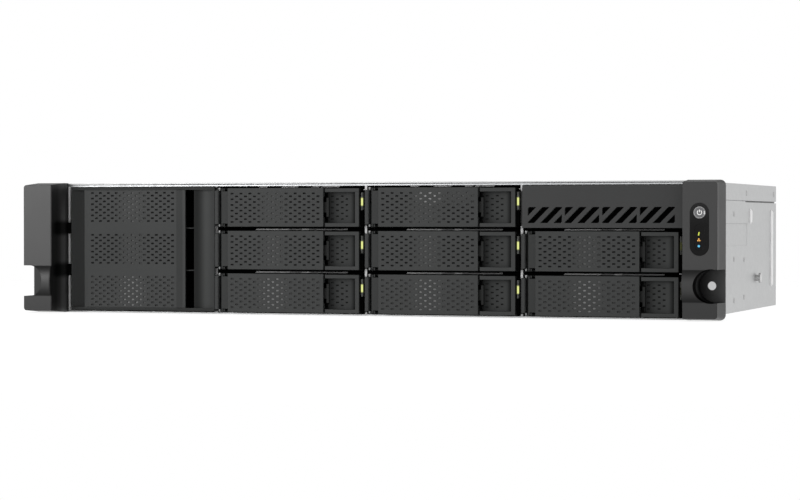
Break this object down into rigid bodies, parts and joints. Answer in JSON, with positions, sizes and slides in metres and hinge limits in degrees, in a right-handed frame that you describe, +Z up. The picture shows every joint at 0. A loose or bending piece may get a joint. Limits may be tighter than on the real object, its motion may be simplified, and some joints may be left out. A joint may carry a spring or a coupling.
{
  "type": "nas enclosure",
  "caption": "Two-unit rack storage enclosure with lever-front drive trays, clip-on intake cover, vent panel, rack ears with a status window, and a rear electronics compartment.",
  "frame": {"origin": "bottom centre of the overall box, in the plane of the chassis underside", "axes": "+X to the right seen from the front, +Y to the rear, +Z up"},
  "size_m": [0.4822, 0.3202, 0.0886],
  "materials": {
    "bare_steel": "zinc-coated sheet, satin",
    "black_steel": "black powder coat",
    "bezel_plastic": "fine-grained dark grey moulding",
    "lever_plastic": "fine-grained dark grey moulding",
    "window_plastic": "glossy black",
    "lamp_plastic": "clear tinted lens, lit",
    "button_metal": "turned, bright",
    "light_guide": "milky clear moulding",
    "circuit_board": "green solder mask",
    "socket_plastic": "black moulding",
    "fin_metal": "extruded",
    "port_metal": "tinned shells",
    "fan_plastic": "black moulding"
  },
  "bodies": {
    "enclosure": {"chassis_base": "bare_steel", "rear_panel": "bare_steel", "bay_dividers": "bare_steel", "bay_headers": "bare_steel", "bay_shelves": "bare_steel", "rail_studs": "bare_steel", "left_ear": "bezel_plastic", "right_ear": "bezel_plastic", "rack_flanges": "black_steel", "status_window": "window_plastic", "indicator_lenses": "lamp_plastic", "vent_panel": "bezel_plastic", "backplane": "circuit_board", "drive_connectors": "socket_plastic", "mainboard": "circuit_board", "cpu_heatsink": "fin_metal", "io_ports": "port_metal", "expansion_brackets": "bare_steel", "fan_frames": "fan_plastic", "power_supply": "bare_steel", "power_inlet": "socket_plastic"},
    "lid": {"top_cover": "bare_steel"},
    "front_cover": {"intake_cover": "bezel_plastic"},
    "button": {"power_button": "button_metal"},
    "left_fan": {"fan_rotor_left": "fan_plastic"},
    "right_fan": {"fan_rotor_right": "fan_plastic"},
    "supply_fan": {"psu_fan_rotor": "fan_plastic"},
    "tray_1": {"tray_1_carrier": "bezel_plastic", "tray_1_light_pipe": "light_guide"},
    "tray_1_lever_body": {"tray_1_lever": "lever_plastic"},
    "tray_1_latch_body": {"tray_1_latch": "lever_plastic"},
    "tray_2": {"tray_2_carrier": "bezel_plastic", "tray_2_light_pipe": "light_guide"},
    "tray_2_lever_body": {"tray_2_lever": "lever_plastic"},
    "tray_2_latch_body": {"tray_2_latch": "lever_plastic"},
    "tray_3": {"tray_3_carrier": "bezel_plastic", "tray_3_light_pipe": "light_guide"},
    "tray_3_lever_body": {"tray_3_lever": "lever_plastic"},
    "tray_3_latch_body": {"tray_3_latch": "lever_plastic"},
    "tray_4": {"tray_4_carrier": "bezel_plastic", "tray_4_light_pipe": "light_guide"},
    "tray_4_lever_body": {"tray_4_lever": "lever_plastic"},
    "tray_4_latch_body": {"tray_4_latch": "lever_plastic"},
    "tray_5": {"tray_5_carrier": "bezel_plastic", "tray_5_light_pipe": "light_guide"},
    "tray_5_lever_body": {"tray_5_lever": "lever_plastic"},
    "tray_5_latch_body": {"tray_5_latch": "lever_plastic"},
    "tray_6": {"tray_6_carrier": "bezel_plastic", "tray_6_light_pipe": "light_guide"},
    "tray_6_lever_body": {"tray_6_lever": "lever_plastic"},
    "tray_6_latch_body": {"tray_6_latch": "lever_plastic"},
    "tray_7": {"tray_7_carrier": "bezel_plastic", "tray_7_light_pipe": "light_guide"},
    "tray_7_lever_body": {"tray_7_lever": "lever_plastic"},
    "tray_7_latch_body": {"tray_7_latch": "lever_plastic"},
    "tray_8": {"tray_8_carrier": "bezel_plastic", "tray_8_light_pipe": "light_guide"},
    "tray_8_lever_body": {"tray_8_lever": "lever_plastic"},
    "tray_8_latch_body": {"tray_8_latch": "lever_plastic"}
  },
  "joints": [
    {"name": "lid_lift", "type": "slide", "parent": "enclosure", "child": "lid", "axis": [0, 0, 1], "range_m": [0, 0.1]},
    {"name": "front_cover_pull", "type": "slide", "parent": "enclosure", "child": "front_cover", "axis": [0, -1, 0], "range_m": [0, 0.06]},
    {"name": "power_button_press", "type": "slide", "parent": "enclosure", "child": "button", "axis": [0, 1, 0], "range_m": [0, 0.0008], "stiffness_N_per_m": 500, "springref_m": -0.001},
    {"name": "left_fan_spin", "type": "hinge", "parent": "enclosure", "child": "left_fan", "pos_m": [0.087, 0.1459, 0.0435], "axis": [0, 1, 0], "continuous": true},
    {"name": "right_fan_spin", "type": "hinge", "parent": "enclosure", "child": "right_fan", "pos_m": [0.169, 0.1459, 0.0435], "axis": [0, 1, 0], "continuous": true},
    {"name": "supply_fan_spin", "type": "hinge", "parent": "enclosure", "child": "supply_fan", "pos_m": [-0.1915, 0.1489, 0.02125], "axis": [0, 1, 0], "continuous": true},
    {"name": "tray_1_pull", "type": "slide", "parent": "enclosure", "child": "tray_1", "axis": [0, -1, 0], "range_m": [0, 0.17]},
    {"name": "tray_1_lever_swing", "type": "hinge", "parent": "tray_1", "child": "tray_1_lever_body", "pos_m": [-0.1011, -0.1369, 0.0717], "axis": [0, 0, -1], "range_deg": [0, 60]},
    {"name": "tray_1_latch_press", "type": "slide", "parent": "tray_1_lever_body", "child": "tray_1_latch_body", "axis": [-1, 0, 0], "range_m": [0, 0.0025], "stiffness_N_per_m": 300, "springref_m": -0.001},
    {"name": "tray_2_pull", "type": "slide", "parent": "enclosure", "child": "tray_2", "axis": [0, -1, 0], "range_m": [0, 0.17]},
    {"name": "tray_2_lever_swing", "type": "hinge", "parent": "tray_2", "child": "tray_2_lever_body", "pos_m": [-0.1011, -0.1369, 0.04315], "axis": [0, 0, -1], "range_deg": [0, 60]},
    {"name": "tray_2_latch_press", "type": "slide", "parent": "tray_2_lever_body", "child": "tray_2_latch_body", "axis": [-1, 0, 0], "range_m": [0, 0.0025], "stiffness_N_per_m": 300, "springref_m": -0.001},
    {"name": "tray_3_pull", "type": "slide", "parent": "enclosure", "child": "tray_3", "axis": [0, -1, 0], "range_m": [0, 0.17]},
    {"name": "tray_3_lever_swing", "type": "hinge", "parent": "tray_3", "child": "tray_3_lever_body", "pos_m": [-0.1011, -0.1369, 0.0146], "axis": [0, 0, -1], "range_deg": [0, 60]},
    {"name": "tray_3_latch_press", "type": "slide", "parent": "tray_3_lever_body", "child": "tray_3_latch_body", "axis": [-1, 0, 0], "range_m": [0, 0.0025], "stiffness_N_per_m": 300, "springref_m": -0.001},
    {"name": "tray_4_pull", "type": "slide", "parent": "enclosure", "child": "tray_4", "axis": [0, -1, 0], "range_m": [0, 0.17]},
    {"name": "tray_4_lever_swing", "type": "hinge", "parent": "tray_4", "child": "tray_4_lever_body", "pos_m": [0.0059, -0.1369, 0.0717], "axis": [0, 0, -1], "range_deg": [0, 60]},
    {"name": "tray_4_latch_press", "type": "slide", "parent": "tray_4_lever_body", "child": "tray_4_latch_body", "axis": [-1, 0, 0], "range_m": [0, 0.0025], "stiffness_N_per_m": 300, "springref_m": -0.001},
    {"name": "tray_5_pull", "type": "slide", "parent": "enclosure", "child": "tray_5", "axis": [0, -1, 0], "range_m": [0, 0.17]},
    {"name": "tray_5_lever_swing", "type": "hinge", "parent": "tray_5", "child": "tray_5_lever_body", "pos_m": [0.0059, -0.1369, 0.04315], "axis": [0, 0, -1], "range_deg": [0, 60]},
    {"name": "tray_5_latch_press", "type": "slide", "parent": "tray_5_lever_body", "child": "tray_5_latch_body", "axis": [-1, 0, 0], "range_m": [0, 0.0025], "stiffness_N_per_m": 300, "springref_m": -0.001},
    {"name": "tray_6_pull", "type": "slide", "parent": "enclosure", "child": "tray_6", "axis": [0, -1, 0], "range_m": [0, 0.17]},
    {"name": "tray_6_lever_swing", "type": "hinge", "parent": "tray_6", "child": "tray_6_lever_body", "pos_m": [0.0059, -0.1369, 0.0146], "axis": [0, 0, -1], "range_deg": [0, 60]},
    {"name": "tray_6_latch_press", "type": "slide", "parent": "tray_6_lever_body", "child": "tray_6_latch_body", "axis": [-1, 0, 0], "range_m": [0, 0.0025], "stiffness_N_per_m": 300, "springref_m": -0.001},
    {"name": "tray_7_pull", "type": "slide", "parent": "enclosure", "child": "tray_7", "axis": [0, -1, 0], "range_m": [0, 0.17]},
    {"name": "tray_7_lever_swing", "type": "hinge", "parent": "tray_7", "child": "tray_7_lever_body", "pos_m": [0.1129, -0.1369, 0.04315], "axis": [0, 0, -1], "range_deg": [0, 60]},
    {"name": "tray_7_latch_press", "type": "slide", "parent": "tray_7_lever_body", "child": "tray_7_latch_body", "axis": [-1, 0, 0], "range_m": [0, 0.0025], "stiffness_N_per_m": 300, "springref_m": -0.001},
    {"name": "tray_8_pull", "type": "slide", "parent": "enclosure", "child": "tray_8", "axis": [0, -1, 0], "range_m": [0, 0.17]},
    {"name": "tray_8_lever_swing", "type": "hinge", "parent": "tray_8", "child": "tray_8_lever_body", "pos_m": [0.1129, -0.1369, 0.0146], "axis": [0, 0, -1], "range_deg": [0, 60]},
    {"name": "tray_8_latch_press", "type": "slide", "parent": "tray_8_lever_body", "child": "tray_8_latch_body", "axis": [-1, 0, 0], "range_m": [0, 0.0025], "stiffness_N_per_m": 300, "springref_m": -0.001}
  ]
}
